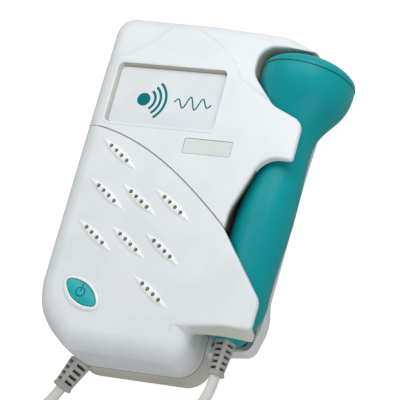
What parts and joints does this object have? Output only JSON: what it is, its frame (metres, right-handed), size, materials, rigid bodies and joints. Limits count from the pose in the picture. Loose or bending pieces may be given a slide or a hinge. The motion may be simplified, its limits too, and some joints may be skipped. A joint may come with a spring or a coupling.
{
  "type": "fetal doppler monitor",
  "caption": "Hand-size heartbeat monitor: arched speaker unit with leaf-shaped sound holes and button, and a corded probe held in its side cradle.",
  "frame": {"origin": "on the back face, on the unit's long centre line, level with the middle of its length", "axes": "+Z out of the front face, +Y towards the head end, +X towards the side that carries the probe"},
  "size_m": [0.13, 0.2323, 0.0382],
  "materials": {
    "shell": "satin moulded plastic",
    "window": "printed panel under a clear coat",
    "plate": "satin",
    "dark_plastic": "matt moulded plastic",
    "black_plastic": "matt moulded plastic",
    "cell": "printed sleeve",
    "spring_steel": "nickel plated",
    "board": "solder mask",
    "chip": "moulded epoxy",
    "screw": "zinc plated",
    "foam": "closed-cell foam",
    "basket": "black coated",
    "paper": "coated paper",
    "magnet": "plated",
    "button": "satin",
    "wheel": "knurled",
    "cord": "matt sheath",
    "teal": "glossy moulded plastic",
    "seal": "matt",
    "ceramic": "silvered ceramic"
  },
  "bodies": {
    "unit": {"rear_shell": "shell", "front_cover_upper": "shell", "front_cover_lower": "shell", "window_panel": "window", "name_plate": "plate", "cradle_saddle": "dark_plastic", "battery_holder": "black_plastic", "battery_cells": "cell", "battery_contacts": "spring_steel", "battery_springs": "spring_steel", "main_board": "board", "board_chips": "chip", "board_screws": "screw", "speaker_gasket": "foam", "speaker_basket": "basket", "speaker_cone": "paper", "speaker_magnet": "magnet", "speaker_screws": "screw", "key_board": "board", "key_board_screws": "screw", "power_switch": "chip", "control_board": "board", "control_board_screws": "screw", "headphone_jack": "black_plastic", "volume_potentiometer": "chip", "housing_screws": "screw", "unit_cable_boot": "cord", "cord_unit_run": "cord", "cord_coil": "cord"},
    "probe": {"probe_body": "teal", "probe_face_cap": "teal", "probe_seal": "seal", "probe_crystals": "ceramic", "probe_backing": "foam", "probe_board": "board", "probe_cable_boot": "cord", "cord_probe_run": "cord"},
    "button": {"power_button": "button", "switch_plunger": "button"},
    "wheel": {"volume_wheel": "wheel"},
    "door": {"battery_door": "shell"}
  },
  "joints": [
    {"name": "probe_out", "type": "slide", "parent": "unit", "child": "probe", "axis": [0.9981, -0.061, 0], "range_m": [0, 0.06]},
    {"name": "power_press", "type": "slide", "parent": "unit", "child": "button", "axis": [0, 0, -1], "range_m": [0, 0.0008], "stiffness_N_per_m": 900},
    {"name": "volume_turn", "type": "hinge", "parent": "unit", "child": "wheel", "pos_m": [-0.022, 0.061, 0.02325], "axis": [0, 0, 1], "range_deg": [-135, 135]},
    {"name": "door_slide", "type": "slide", "parent": "unit", "child": "door", "axis": [0, 1, 0], "range_m": [0, 0.06]}
  ]
}
